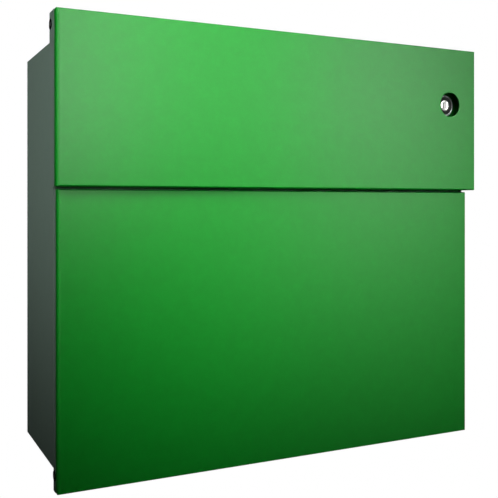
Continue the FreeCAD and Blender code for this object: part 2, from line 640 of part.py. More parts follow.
def cam_screw():
    y0 = Y_CAM + CAM_SHEET
    shank = rod_y(CAM_SCREW_DIAMETER / 2, X_LOCK, y0 - CAM_SCREW_LENGTH, y0, Z_LOCK)
    head = rod_y(CAM_SCREW_HEAD_DIAMETER / 2, X_LOCK, y0, y0 + CAM_SCREW_HEAD, Z_LOCK)
    rim = [edge for edge in head.Edges if edge.BoundBox.YMin > y0 + CAM_SCREW_HEAD - TINY]
    head = head.makeFillet(CAM_SCREW_HEAD / 3, rim)
    solid = join(head, shank)
    y_slot = y0 + CAM_SCREW_HEAD / 2
    y_past = y0 + CAM_SCREW_HEAD + OVERRUN
    cross = []
    for wide, high in ((CAM_SLOT_LENGTH, CAM_SLOT), (CAM_SLOT, CAM_SLOT_LENGTH)):
        cross.append(block(X_LOCK - wide / 2, X_LOCK + wide / 2, y_slot, y_past,
                           Z_LOCK - high / 2, Z_LOCK + high / 2))
    return solid.cut(cross)


# --- The assembly -------------------------------------------------------------------------
def build_nodes():
    """Every piece by its node name."""
    nodes = {
        "back_panel": back_panel(),
        "roof_panel": roof_panel(),
        "floor_panel": floor_panel(),
        "bracket_rivets": bracket_rivets(),
        "door_hinge_pins": hinge_pins(X_BRACKET - BRACKET_SHEET, X_SIDE, Z_DOOR_HINGE),
        "door_bumpers": door_bumpers(),
        "lower_front_panel": lower_front_panel(),
        "upper_front_panel": upper_front_panel(),
        "door_bottom_rail": door_cross_rail(Z_BOTTOM, 1),
        "door_middle_rail": door_middle_rail(),
        "door_top_rail": door_cross_rail(Z_DOOR_TOP, -1),
        "door_hinge_bushes": hinge_bushes(X_SIDE, X_BRACKET, Z_DOOR_HINGE),
        "door_panel_studs": studs(door_stud_points(), Y_DOOR),
        "door_panel_nuts": stud_nuts(door_stud_points(), Y_DOOR),
        "mail_slot_trim": mail_slot_trim(),
        "flap_bumpers": flap_bumpers(),
        "flap_hinge_pins": hinge_pins(X_SIDE - SHEET, X_FLAP, Z_FLAP_HINGE),
        "lock_housing": lock_housing(),
        "lock_ring": lock_ring(),
        "lock_nut": lock_nut(),
        "flap_panel": flap_panel(),
        "flap_top_rail": flap_top_rail(),
        "flap_bottom_rail": flap_bottom_rail(),
        "flap_hinge_bushes": hinge_bushes(X_FLAP, X_SIDE, Z_FLAP_HINGE),
        "flap_panel_studs": studs(flap_stud_points(), Y_FLAP),
        "flap_panel_nuts": stud_nuts(flap_stud_points(), Y_FLAP),
        "lock_plug": lock_plug(),
        "lock_cam": lock_cam(),
        "cam_screw": cam_screw(),
    }
    for name, side in SIDES:
        nodes[name + "_side_wall"] = side_wall(side)
        nodes[name + "_hinge_bracket"] = hinge_bracket(side)
        nodes[name + "_door_rail"] = door_side_rail(side)
        nodes[name + "_flap_cheek"] = flap_cheek(side)
    return nodes


os.makedirs("parts", exist_ok=True)
for node, shape in build_nodes().items():
    shape.exportStep("parts/" + node + ".step")
    box = shape.BoundBox
    print("%-20s solids %d valid %s volume %9.1f mm3  x %.1f..%.1f y %.1f..%.1f z %.1f..%.1f" % (
        node, len(shape.Solids), shape.isValid(), shape.Volume,
        box.XMin, box.XMax, box.YMin, box.YMax, box.ZMin, box.ZMax))
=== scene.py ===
"""Looks of the wall mounted mailbox: finishes, detailed pieces, studio and camera.

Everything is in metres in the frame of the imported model: X to the right, Y into the wall, Z up.
Sizes of pieces are written in millimetres and turned into metres where a mesh is made.
"""

import json
import logging
import math
from dataclasses import dataclass
from enum import Enum
from typing import Callable

import bmesh
import bpy
import numpy as np
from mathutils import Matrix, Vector
from mathutils.geometry import tessellate_polygon

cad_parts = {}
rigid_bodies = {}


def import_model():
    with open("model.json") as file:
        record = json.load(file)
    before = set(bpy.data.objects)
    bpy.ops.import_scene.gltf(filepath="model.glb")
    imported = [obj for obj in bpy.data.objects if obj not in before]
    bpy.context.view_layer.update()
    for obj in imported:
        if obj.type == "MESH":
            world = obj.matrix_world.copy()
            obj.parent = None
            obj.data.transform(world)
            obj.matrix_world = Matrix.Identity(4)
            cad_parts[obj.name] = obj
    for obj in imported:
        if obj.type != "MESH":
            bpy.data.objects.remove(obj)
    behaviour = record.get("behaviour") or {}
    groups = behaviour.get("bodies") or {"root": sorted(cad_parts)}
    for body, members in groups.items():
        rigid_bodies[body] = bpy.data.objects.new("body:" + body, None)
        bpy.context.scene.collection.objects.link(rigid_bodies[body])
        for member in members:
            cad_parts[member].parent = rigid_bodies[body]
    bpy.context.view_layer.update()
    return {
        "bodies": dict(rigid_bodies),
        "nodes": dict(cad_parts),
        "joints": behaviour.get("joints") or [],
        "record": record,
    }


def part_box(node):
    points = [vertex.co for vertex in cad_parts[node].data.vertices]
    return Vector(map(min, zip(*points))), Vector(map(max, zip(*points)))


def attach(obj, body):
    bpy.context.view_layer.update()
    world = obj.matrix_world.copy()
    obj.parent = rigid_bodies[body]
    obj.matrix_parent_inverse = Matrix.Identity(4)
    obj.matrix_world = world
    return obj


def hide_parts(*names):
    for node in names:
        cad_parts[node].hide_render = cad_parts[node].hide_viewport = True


LOG = logging.getLogger("mailbox")
MM = 0.001
SHARP = math.radians(32)  # edges that turn more than this keep a crisp shading break
NOISE_RANGE = (0.3, 0.7)  # a noise's heights that count as its lowest and highest
DRIFT_RANGE = (0.1, 0.42)  # the same for the product of colour patches and relief
THREAD_ROWS = 6  # rings of points in one pitch of a thread
THREAD_DEPTH = 0.6  # depth of a thread as a share of its pitch
NUT_FACE = 0.49  # radius of the flat ring at a nut's ends as a share of its flats
NUT_CONE = 0.58  # slope of the cone that cuts a nut's corners, near 30 degrees
NUT_CHAMFER = 0.3
Steps = tuple[tuple[float, float], ...]  # pairs of a step across an axis and a step along it


# --- Colours and nodes --------------------------------------------------------------------
def linear(code: str) -> tuple[float, float, float, float]:
    """Turn an sRGB hex colour into linear values.

    Args:
        code: six hex digits, such as "2E7D3A".

    Returns:
        Red, green and blue in linear light, and an alpha of 1.
    """
    channels = [int(code[place:place + 2], 16) / 255 for place in (0, 2, 4)]
    values = [c / 12.92 if c <= 0.04045 else ((c + 0.055) / 1.055) ** 2.4 for c in channels]
    return values[0], values[1], values[2], 1.0


def add_node(tree: bpy.types.NodeTree, kind: str, values: dict | None = None,
             links: dict | None = None, **settings: object) -> bpy.types.Node:
    """Add one node to a tree.

    Args:
        tree: the tree that gets the node.
        kind: the node's type name.
        values: input socket name or number to its fixed value.
        links: input socket name or number to the output socket that feeds it.
        **settings: attributes of the node itself.

    Returns:
        The new node.
    """
    node = tree.nodes.new(kind)
    for name, value in settings.items():
        setattr(node, name, value)
    for name, value in (values or {}).items():
        node.inputs[name].default_value = value
    for name, output in (links or {}).items():
        tree.links.new(output, node.inputs[name])
    return node


class Grain(Enum):
    """How a surface was made, which decides its relief."""

    SPRAYED = "sprayed"
    TURNED = "turned"
    ROLLED = "rolled"
    MOULDED = "moulded"


@dataclass(frozen=True)
class Finish:
    """One real surface finish.

    A finish has a base colour and a second colour it drifts towards in soft patches, a roughness
    with its own spread, and a relief with one grain size and height.
    """

    name: str
    base: str
    drift: str
    drift_mm: float
    roughness: float
    spread: float
    grain: Grain
    grain_mm: float
    relief_mm: float
    metallic: float = 0.0
    specular: float = 0.5

    def material(self) -> bpy.types.Material:
        """Build the node material.

        Returns:
            The material, with colour drift, roughness spread and relief from its own nodes.
        """
        material = bpy.data.materials.new(self.name)
        material.use_nodes = True
        tree = material.node_tree
        tree.nodes.clear()
        place = add_node(tree, "ShaderNodeTexCoord").outputs["Object"]
        height = self.relief(tree, place)
        patches = add_node(tree, "ShaderNodeTexNoise",
                           {"Scale": 1 / (self.drift_mm * MM), "Detail": 3.0, "Roughness": 0.6},
                           {"Vector": place})
        both = add_node(tree, "ShaderNodeMath", None,
                        {0: patches.outputs["Fac"], 1: height}, operation="MULTIPLY")
        share = add_node(tree, "ShaderNodeMapRange",
                         {"From Min": DRIFT_RANGE[0], "From Max": DRIFT_RANGE[1]},
                         {"Value": both.outputs["Value"]})
        colour = add_node(tree, "ShaderNodeMix", {6: linear(self.base), 7: linear(self.drift)},
                          {0: share.outputs["Result"]}, data_type="RGBA")
        rough = add_node(tree, "ShaderNodeMapRange",
                         {"From Min": NOISE_RANGE[0], "From Max": NOISE_RANGE[1],
                          "To Min": self.roughness - self.spread,
                          "To Max": self.roughness + self.spread}, {"Value": height})
        bump = add_node(tree, "ShaderNodeBump", {"Strength": 1.0, "Distance": self.relief_mm * MM},
                        {"Height": height})
        shader = add_node(tree, "ShaderNodeBsdfPrincipled",
                          {"Metallic": self.metallic, "Specular IOR Level": self.specular},
                          {"Base Color": colour.outputs[2], "Roughness": rough.outputs["Result"],
                           "Normal": bump.outputs["Normal"]})
        add_node(tree, "ShaderNodeOutputMaterial", None, {"Surface": shader.outputs["BSDF"]})
        return material

    def relief(self, tree: bpy.types.NodeTree, place: bpy.types.NodeSocket) -> bpy.types.NodeSocket:
        """Make the height pattern of this finish's grain.

        Args:
            tree: the material's tree.
            place: the socket with the place on the piece.

        Returns:
            The socket that carries the height, from 0 to 1.
        """
        scale = 1 / (self.grain_mm * MM)
        if self.grain is Grain.SPRAYED:
            # Cured powder: rounded nubs one grain wide over a slower orange-peel wave.
            nubs = add_node(tree, "ShaderNodeTexNoise", {"Scale": scale, "Detail": 2.0, "Roughness": 0.45},
                            {"Vector": place})
            wave = add_node(tree, "ShaderNodeTexNoise", {"Scale": scale / 3.1, "Detail": 1.0},
                            {"Vector": place})
            mix = add_node(tree, "ShaderNodeMix", {0: 0.35}, {2: nubs.outputs["Fac"], 3: wave.outputs["Fac"]})
            return mix.outputs[0]
        if self.grain is Grain.ROLLED:
            # Rolled or drawn metal: the grain runs on along X, so it is squeezed there.
            along = add_node(tree, "ShaderNodeMapping", {"Scale": (0.08, 1.0, 1.0)}, {"Vector": place})
            return add_node(tree, "ShaderNodeTexNoise", {"Scale": scale, "Detail": 3.0},
                            {"Vector": along.outputs["Vector"]}).outputs["Fac"]
        if self.grain is Grain.TURNED:
            # Turned face: fine marks that a lathe leaves, drawn short and without a centre.
            return add_node(tree, "ShaderNodeTexNoise", {"Scale": scale, "Detail": 4.0, "Roughness": 0.65},
                            {"Vector": place}).outputs["Fac"]
        return add_node(tree, "ShaderNodeTexNoise", {"Scale": scale, "Detail": 2.0},
                        {"Vector": place}).outputs["Fac"]


# Polyester powder coat over sheet steel, a clear strong green. The cured powder leaves a fine sandy
# relief about a millimetre across, which breaks the highlight into a soft, slightly grainy sheen.
GREEN_POWDER = Finish("green_powder_coat", base="00911F", drift="009923", drift_mm=9.0, roughness=0.42,
                      spread=0.04, grain=Grain.SPRAYED, grain_mm=1.1, relief_mm=0.055)
# The same powder in a cool mid grey on the box and the rails: duller, so the sides look quiet.
GREY_POWDER = Finish("grey_powder_coat", base="87A091", drift="8CA496", drift_mm=9.0, roughness=0.5,
                     spread=0.04, grain=Grain.SPRAYED, grain_mm=1.1, relief_mm=0.03)
# Zinc plate on small steel hardware: pale, faintly yellow metal with a drawn grain.
ZINC_PLATE = Finish("zinc_plated_steel", base="B9BAB4", drift="A9A89C", drift_mm=3.0, roughness=0.34,
                    spread=0.06, grain=Grain.ROLLED, grain_mm=0.5, relief_mm=0.008, metallic=1.0)
# Satin nickel on the lock's plug: bright and nearly smooth, which gives the glints in the hole.
NICKEL_PLATE = Finish("nickel_plated_brass", base="E2E1DE", drift="D2D0CC", drift_mm=4.0, roughness=0.3,
                      spread=0.04, grain=Grain.TURNED, grain_mm=0.6, relief_mm=0.006, metallic=1.0)
# Nickel on the lock's body, darkened and tinted green: the colour paints in the shade of the access hole and
# a reflection of the green panel round it.
NICKEL_PAINTED_SHADE = Finish("nickel_with_painted_shade", base="7D8581", drift="727A76", drift_mm=4.0,
                      roughness=0.34, spread=0.04, grain=Grain.TURNED, grain_mm=0.6, relief_mm=0.006,
                      metallic=1.0)
# Moulded black nylon for bushes, lock ring and slot liner: dark with a broad soft highlight.
BLACK_NYLON = Finish("moulded_black_nylon", base="080909", drift="0F1010", drift_mm=5.0, roughness=0.56,
                     spread=0.06, grain=Grain.MOULDED, grain_mm=0.6, relief_mm=0.01, specular=0.25)
# Moulded rubber pads: black with almost no sheen.
BLACK_RUBBER = Finish("moulded_black_rubber", base="121212", drift="1B1B1B", drift_mm=4.0, roughness=0.78,
                      spread=0.05, grain=Grain.MOULDED, grain_mm=0.4, relief_mm=0.02, specular=0.3)

SLOT_FINISHES = {"green_coat": GREEN_POWDER, "grey_coat": GREY_POWDER, "zinc": ZINC_PLATE,
                 "lock_chrome": NICKEL_PLATE, "black_plastic": BLACK_NYLON, "rubber": BLACK_RUBBER}


# --- Outlines and surfaces ----------------------------------------------------------------
def circle(radius: float, steps: int = 48) -> np.ndarray:
    """Points of a circle round the origin, counterclockwise, as an (n, 2) array."""
    angle = np.arange(steps) * 2 * np.pi / steps
    return radius * np.stack([np.cos(angle), np.sin(angle)], axis=1)


def rounded_rectangle(half_x: float, half_z: float, radius: float, arc_steps: int = 4,
                      side_steps: int = 12) -> np.ndarray:
    """Outline of a rectangle with rounded corners.

    Each corner is a quarter circle round a centre set in by the radius. The straight sides
    between them are divided evenly, so loops with other sizes match point for point.

    Args:
        half_x: half the width.
        half_z: half the height.
        radius: corner radius.
        arc_steps: steps in each quarter circle.
        side_steps: steps along each side.

    Returns:
        An (n, 2) array, counterclockwise from the right side.
    """
    turn = np.linspace(0, np.pi / 2, arc_steps + 1)
    share = np.linspace(0, 1, side_steps + 1)[1:-1, None]
    arcs = []
    for quarter, (side_x, side_z) in enumerate(((1, 1), (-1, 1), (-1, -1), (1, -1))):
        angle = turn + quarter * np.pi / 2
        arcs.append(np.stack([side_x * (half_x - radius) + radius * np.cos(angle),
                              side_z * (half_z - radius) + radius * np.sin(angle)], axis=1))
    loop = []
    for here, after in zip(arcs, arcs[1:] + arcs[:1]):
        loop += [here, here[-1] + share * (after[0] - here[-1])]
    return np.concatenate(loop)


def grown(loop: np.ndarray, distance: float) -> np.ndarray:
    """Move an outline outwards with mitred corners.

    Each point moves along the sum of the two edge normals beside it, divided by one plus their
    dot product, which keeps every edge parallel to where it was.

    Args:
        loop: the outline, counterclockwise, as an (n, 2) array.
        distance: how far its edges move.

    Returns:
        The moved outline, with the same number of points.
    """
    edge = np.roll(loop, -1, axis=0) - loop
    normal = np.stack([edge[:, 1], -edge[:, 0]], axis=1) / np.linalg.norm(edge, axis=1)[:, None]
    before = np.roll(normal, 1, axis=0)
    return loop + distance * (normal + before) / (1 + (normal * before).sum(axis=1))[:, None]


@dataclass(frozen=True)
class Axis:
    """A line that pieces are turned or pushed out along: it has a place and a direction."""

    place: Vector
    along: str

    def points(self, across: np.ndarray, depth: np.ndarray) -> np.ndarray:
        """Put outline points into space.

        Args:
            across: (..., 2) points across the axis, in millimetres.
            depth: (...) places along the axis, in millimetres from its place.

        Returns:
            (..., 3) points in metres.
        """
        first, second = across[..., 0], across[..., 1]
        depth = np.broadcast_to(depth, first.shape)
        order = {"x": (depth, first, second), "y": (first, depth, second), "z": (first, second, depth)}
        return np.stack(order[self.along], axis=-1) * MM + np.array(self.place)


class Surface:
    """Points and faces of one piece, collected grid by grid and then made a mesh."""

    def __init__(self) -> None:
        """Start with nothing."""
        self.points: list[np.ndarray] = []
        self.faces: list = []
        self.filled: list[int] = []
        self.count = 0

    def add(self, grid: np.ndarray) -> np.ndarray:
        """Add points.

        Args:
            grid: a (rows, columns, 3) array.

        Returns:
            The points' numbers, as a (rows, columns) array.
        """
        numbers = self.count + np.arange(grid.shape[0] * grid.shape[1]).reshape(grid.shape[:2])
        self.points.append(grid.reshape(-1, 3))
        self.count += numbers.size
        return numbers

    def skin(self, numbers: np.ndarray, closed: bool = False) -> None:
        """Join each ring of points to the next with quads.

        Args:
            numbers: the points' numbers, ring by ring.
            closed: the last ring is joined to the first.
        """
        after = np.roll(numbers, -1, axis=0) if closed else numbers[1:]
        here = numbers if closed else numbers[:-1]
        quads = np.stack([here, np.roll(here, -1, axis=1), np.roll(after, -1, axis=1), after], axis=-1)
        self.faces += quads.reshape(-1, 4).tolist()

    def cap(self, ring: np.ndarray) -> None:
        """Close a ring with one flat face."""
        self.faces.append(ring.tolist())

    def fill(self, outer: np.ndarray, *holes: np.ndarray) -> None:
        """Close a flat region with triangles.

        Args:
            outer: numbers of the points round the region.
            *holes: numbers of the points round each hole in it.
        """
        rings = [outer, *holes]
        places = np.concatenate(self.points)
        flat = tessellate_polygon([[Vector(point) for point in places[ring]] for ring in rings])
        numbers = np.concatenate(rings)
        self.filled += range(len(self.faces), len(self.faces) + len(flat))
        self.faces += [[int(numbers[corner]) for corner in face] for face in flat]

    def mesh(self, name: str) -> bpy.types.Mesh:
        """Make the mesh, with faces outwards and shading breaks at sharp edges.

        Args:
            name: the mesh's name.

        Returns:
            The mesh.
        """
        mesh = bpy.data.meshes.new(name)
        mesh.from_pydata(np.concatenate(self.points), [], self.faces)
        work = bmesh.new()
        work.from_mesh(mesh)
        bmesh.ops.recalc_face_normals(work, faces=work.faces)
        work.faces.ensure_lookup_table()
        flats = [work.faces[number] for number in self.filled]
        # Only the flat fills are triangles, and the edges between them may turn to avoid slivers.
        edges = [edge for edge in work.edges if all(len(face.verts) == 3 for face in edge.link_faces)]
        bmesh.ops.beautify_fill(work, faces=flats, edges=edges, method="ANGLE")
        work.to_mesh(mesh)
        work.free()
        mesh.shade_smooth()
        mesh.set_sharp_from_angle(angle=SHARP)
        return mesh


def turned(surface: Surface, axis: Axis, profile: list[tuple[float, float]], hollow: bool = False,
           steps: int = 40) -> None:
    """Add a turned shape: a profile of radius and depth carried round an axis.

    Args:
        surface: what the shape is added to.
        axis: the line it turns round.
        profile: radius and depth of each ring, in millimetres.
        hollow: the profile closes on itself, as in a bush; otherwise its two ends are capped.
        steps: points in each ring.
    """
    radius, depth = np.array(profile).T
    rings = axis.points(radius[:, None, None] * circle(1.0, steps), depth[:, None])
    numbers = surface.add(rings)
    surface.skin(numbers, closed=hollow)
    if not hollow:
        surface.cap(numbers[0])
        surface.cap(numbers[-1])


def rounded(corners: list[tuple[float, float]], radius: float, steps: int = 3,
            closed: bool = False) -> list[tuple[float, float]]:
    """Round the corners of a profile.

    Each corner becomes a quadratic curve between two points set back from it along its sides, by
    the radius or, on a short side, by two fifths of that side.

    Args:
        corners: the profile's corners.
        radius: how far each corner is set back.
        steps: steps along each curve.
        closed: the profile runs back to its start, so its ends are rounded too.

    Returns:
        The rounded profile's points.
    """
    points = np.array(corners, float)
    before, after = np.roll(points, 1, axis=0) - points, np.roll(points, -1, axis=0) - points
    share = np.linspace(0, 1, steps + 1)[:, None]
    result = []
    for place, back, ahead, number in zip(points, before, after, range(len(points))):
        if not closed and number in (0, len(points) - 1):
            result.append(place[None])
            continue
        start = place + back * min(0.4, radius / np.linalg.norm(back))
        end = place + ahead * min(0.4, radius / np.linalg.norm(ahead))
        result.append((1 - share) ** 2 * start + 2 * share * (1 - share) * place + share ** 2 * end)
    return [tuple(point) for point in np.concatenate(result)]


def edge_steps(thickness: float, edge: float, margin: float) -> tuple[np.ndarray, np.ndarray]:
    """Rings that run over the softened edge of a sheet, from one face to the other.

    Near each face they follow a quarter circle of the edge's radius. A flat margin at both ends
    keeps the shading of the faces true.

    Args:
        thickness: the sheet's thickness.
        edge: radius of the softened edge.
        margin: width of the flat margin.

    Returns:
        How far each ring lies inside the material from the edge, and its depth.
    """
    turn = np.linspace(0, np.pi / 2, 4)
    inside = edge * np.concatenate([1 - np.sin(turn), 1 - np.cos(turn)])
    depth = np.concatenate([edge * (1 - np.cos(turn)), thickness - edge * (1 - np.sin(turn))])
    return (np.concatenate([[edge + margin], inside, [edge + margin]]),
            np.concatenate([[0.0], depth, [thickness]]))


def stamped(surface: Surface, axis: Axis, outline: np.ndarray, holes: list[np.ndarray], low: float,
            high: float, edge: float) -> None:
    """Add a flat stamped plate with holes, whose cut edges are softened.

    The plate is the outline pushed out from low to high. Rings near both faces step in by the
    edge size along a quarter circle, and holes step out by the same.

    Args:
        surface: what the plate is added to.
        axis: the line it is pushed out along.
        outline: its outer outline, counterclockwise, in millimetres.
        holes: the outlines of its holes, counterclockwise.
        low: where it starts along the axis.
        high: where it ends.
        edge: radius of the softened edges.
    """
    inset, depth = edge_steps(high - low, edge, edge)
    fronts, backs = [], []
    for loop, way in [(outline, -1)] + [(hole, 1) for hole in holes]:
        rings = np.stack([axis.points(grown(loop, way * step), low + at) for step, at in zip(inset, depth)])
        numbers = surface.add(rings)
        surface.skin(numbers)
        fronts.append(numbers[0])
        backs.append(numbers[-1])
    surface.fill(*fronts)
    surface.fill(*backs)


def threaded(surface: Surface, axis: Axis, radius: float, pitch: float, low: float, high: float,
             steps: int = 24) -> None:
    """Add a threaded rod.

    The radius at an angle and a depth is the outer radius less the thread's depth times a
    triangle wave, which takes one step of the pitch for each turn. It shrinks towards both ends.

    Args:
        surface: what the rod is added to.
        axis: the line it stands on.
        radius: its outer radius.
        pitch: the thread's pitch.
        low: where it starts along the axis.
        high: where it ends.
        steps: points in each ring.
    """
    rows = max(4, int(round((high - low) / pitch * THREAD_ROWS)))
    depth = np.linspace(low, high, rows + 1)[:, None]
    angle = (np.arange(steps) / steps)[None, :]
    wave = np.abs(((depth / pitch - angle) % 1) * 2 - 1)
    lead = np.minimum(1, np.minimum(depth - low, high - depth) / pitch)
    reach = radius - THREAD_DEPTH * pitch * (1 - wave * lead)
    rings = axis.points(reach[..., None] * circle(1.0, steps), depth)
    numbers = surface.add(rings)
    surface.skin(numbers)
    surface.cap(numbers[0])
    surface.cap(numbers[-1])


def hexagon_nut(surface: Surface, axis: Axis, flats: float, bore: float, low: float, high: float,
                steps: int = 72) -> None:
    """Add a hexagon nut with turned corners.

    At an angle the outer wall is half the flats over the cosine of the angle from the nearest
    flat. Both ends drop towards it from a flat ring by the cone's slope times the distance.

    Args:
        surface: what the nut is added to.
        axis: the line it stands on.
        flats: its width across the flats.
        bore: the hole's diameter.
        low: where it starts along the axis.
        high: where it ends.
        steps: points in each ring.
    """
    angle = np.arange(steps) * 2 * np.pi / steps
    wall = flats / 2 / np.cos((angle + np.pi / 6) % (np.pi / 3) - np.pi / 6)
    drop = NUT_CONE * (wall - NUT_FACE * flats)
    level = 0 * drop
    face = NUT_FACE * flats + level
    hole = bore / 2 + level
    radius = np.stack([face, wall, wall, face, hole + NUT_CHAMFER, hole, hole, hole + NUT_CHAMFER])
    ends = np.stack([low + level, low + drop, high - drop, high + level, high + level,
                     high - NUT_CHAMFER + level, low + NUT_CHAMFER + level, low + level])
    unit = circle(1.0, steps)[None]
    surface.skin(surface.add(axis.points(radius[..., None] * unit, ends)), closed=True)


# --- Pieces -------------------------------------------------------------------------------
class Workshop:
    """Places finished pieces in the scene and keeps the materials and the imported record."""

    def __init__(self, frame: dict) -> None:
        """Make one material for each of the record's slots and look up every node's slot and body.

        Args:
            frame: what the frame loader returned.
        """
        self.frame = frame
        self.materials = {slot: finish.material() for slot, finish in SLOT_FINISHES.items()}
        self.slots = {part["node"]: part["material_slot"] for part in frame["record"]["subparts"]}
        self.bodies = {node: body for body, nodes in frame["record"]["behaviour"]["bodies"].items()
                       for node in nodes}

    def place(self, name: str, mesh: bpy.types.Mesh, *nodes: str,
              finish: Finish | None = None) -> bpy.types.Object:
        """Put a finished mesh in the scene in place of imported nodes.

        Args:
            name: the piece's name.
            mesh: its mesh, in place in the frame.
            *nodes: the nodes that it stands for; the first gives its body and its finish.
            finish: a finish to use in place of the node's own.

        Returns:
            The piece.
        """
        piece = bpy.data.objects.new(name, mesh)
        bpy.context.scene.collection.objects.link(piece)
        material = finish.material() if finish else self.materials[self.slots[nodes[0]]]
        piece.data.materials.append(material)
        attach(piece, self.bodies[nodes[0]])
        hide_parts(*nodes)
        LOG.info("%s: %d faces", name, len(mesh.polygons))
        return piece


def middle(node: str) -> Vector:
    """The middle of a node's box."""
    low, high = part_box(node)
    return (low + high) / 2


def front_axis(low: Vector, high: Vector) -> Axis:
    """The line along Y through the middle of a box, starting at its front."""
    return Axis(Vector(((low.x + high.x) / 2, low.y, (low.z + high.z) / 2)), "y")


def packed_points(node: str) -> np.ndarray:
    """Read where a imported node's vertices lie.

    Args:
        node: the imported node.

    Returns:
        An (n, 3) array in metres.
    """
    mesh = bpy.data.objects[node].data
    places = np.zeros(len(mesh.vertices) * 3)
    mesh.vertices.foreach_get("co", places)
    return places.reshape(-1, 3)


@dataclass
class Assembly:
    """A group of pieces and the workshop that places them."""

    shop: Workshop

    def place(self, name: str, surface: Surface, node: str, finish: Finish | None = None) -> None:
        """Make a surface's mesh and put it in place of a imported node."""
        self.shop.place(name, surface.mesh(name), node, finish=finish)


@dataclass
class FrontPanels(Assembly):
    """The three folded green front panels."""

    sheet: float = 1.2
    bend: float = 3.0
    bend_steps: int = 8
    level_fold: float = 0.4  # the folds along the top and bottom look this much tighter
    corner: float = 0.9  # rounding of the welded and ground corner between two returns
    edge: float = 0.3  # powder rounds the cut edge
    box_margin: float = 2.0  # boxes that part the face lie this far off the rings
    flat_margin: float = 0.8  # flat strip inside the bend that keeps its shading true
    tiny: float = 0.05
    access_clearance: float = 1.2
    barrel_hole: float = 18.4
    trim_flange: float = 4.0
    trim_clearance: float = 0.2
    slot_corner: float = 0.8
    hole_steps: int = 64

    def build(self) -> None:
        """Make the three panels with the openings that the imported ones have."""
        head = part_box("lock_housing")[1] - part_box("lock_housing")[0]
        lock = middle("lock_plug")
        access = circle((head.x / MM + 2 * self.access_clearance) / 2, self.hole_steps)
        barrel = circle(self.barrel_hole / 2, self.hole_steps)
        low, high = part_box("mail_slot_trim")
        flange = self.trim_flange - self.trim_clearance
        slot_half = ((high.x - low.x) / MM / 2 - flange, (high.z - low.z) / MM / 2 - flange)
        slot = rounded_rectangle(*slot_half, self.slot_corner)
        at_slot = (low + high) / 2
        self.panel("lower_front_panel", [])
        self.panel("upper_front_panel", [(slot, at_slot), (barrel, lock)])
        self.panel("flap_panel", [(access, lock)])

    def panel(self, node: str, openings: list[tuple[np.ndarray, Vector]]) -> None:
        """Make one panel as a closed sheet.

        Rings run from the face over the outer bend, down the return, round its free edge and back
        up inside. A ring is the outline set in by an inset, at a depth: on a bend of radius r at
        an angle they are r times one less its sine, and r times one less its cosine.

        Args:
            node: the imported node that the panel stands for.
            openings: outlines of the openings and the places of their middles.
        """
        low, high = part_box(node)
        half_x, half_z = (high.x - low.x) / MM / 2, (high.z - low.z) / MM / 2
        depth = (high.y - low.y) / MM
        axis = front_axis(low, high)
        turn = np.linspace(0, np.pi / 2, self.bend_steps + 1)
        inner = self.bend - self.sheet
        lip = self.sheet / 2 + (self.sheet / 2 - self.edge) * np.array([-1, 1])
        inset = np.concatenate([[self.bend + self.flat_margin], self.bend * (1 - np.sin(turn)), [0.0, 0.0],
                                lip, [self.sheet, self.sheet],
                                self.sheet + inner * (1 - np.sin(turn[::-1])),
                                [self.bend + self.flat_margin]])
        rise = np.concatenate([[0.0], self.bend * (1 - np.cos(turn)), [self.bend + self.flat_margin,
                               depth - self.edge], [depth, depth],
                               [depth - self.edge, self.bend + self.flat_margin],
                               self.sheet + inner * (1 - np.cos(turn[::-1])), [self.sheet]])
        soft = self.tiny + (self.corner - self.tiny) * np.clip(rise / self.bend, 0, 1) ** 2
        soft = np.where(np.arange(len(rise)) > self.bend_steps + 4, np.minimum(soft, self.edge), soft)
        bent = np.where(np.arange(len(rise)) <= self.bend_steps + 1, self.level_fold, 1.0)
        rings = np.stack([axis.points(rounded_rectangle(half_x - i, half_z - i * k, c), y)
                          for i, y, c, k in zip(inset, rise, soft, bent)])
        surface = Surface()
        numbers = surface.add(rings)
        surface.skin(numbers)
        fronts, backs = [], []
        for outline, centre in openings:
            rim = self.rim(surface, outline, Axis(Vector((centre.x, low.y, centre.z)), "y"))
            fronts.append(self.boxed(surface, rim[0], self.box_margin))
            backs.append(self.boxed(surface, rim[-1], self.box_margin))
        surface.fill(self.boxed(surface, numbers[0], -self.box_margin), *fronts)
        surface.fill(self.boxed(surface, numbers[-1], -self.box_margin), *backs)
        self.place(node + "_skin", surface, node)

    def boxed(self, surface: Surface, ring: np.ndarray, grow: float) -> np.ndarray:
        """Add the corners of a box round a flat ring, or inside it, and close the space between.

        The rest of the face then starts from four corners, so none of its triangles is a sliver.

        Args:
            surface: what the corners are added to.
            ring: the ring's points, which lie at one depth.
            grow: how far the box lies outside the ring; below zero it lies inside.

        Returns:
            The box's corners.
        """
        points = np.concatenate(surface.points)[ring]
        (left, _, foot), (right, _, top) = points.min(axis=0) - grow * MM, points.max(axis=0) + grow * MM
        y = points[0, 1]
        box = [(left, y, foot), (right, y, foot), (right, y, top), (left, y, top)]
        corners = surface.add(np.array([box]))[0]
        surface.fill(*((corners, ring) if grow > 0 else (ring, corners)))
        return corners

    def rim(self, surface: Surface, outline: np.ndarray, axis: Axis) -> np.ndarray:
        """Add an opening's wall through the sheet, with softened rims.

        Args:
            surface: what the wall is added to.
            outline: the opening's outline, counterclockwise.
            axis: the line through the opening, from the sheet's face.

        Returns:
            The numbers of its rings' points, from the face to the back.
        """
        out, depth = edge_steps(self.sheet, self.edge, self.flat_margin)
        rings = np.stack([axis.points(grown(outline, step), at) for step, at in zip(out, depth)])
        numbers = surface.add(rings)
        surface.skin(numbers)
        return numbers


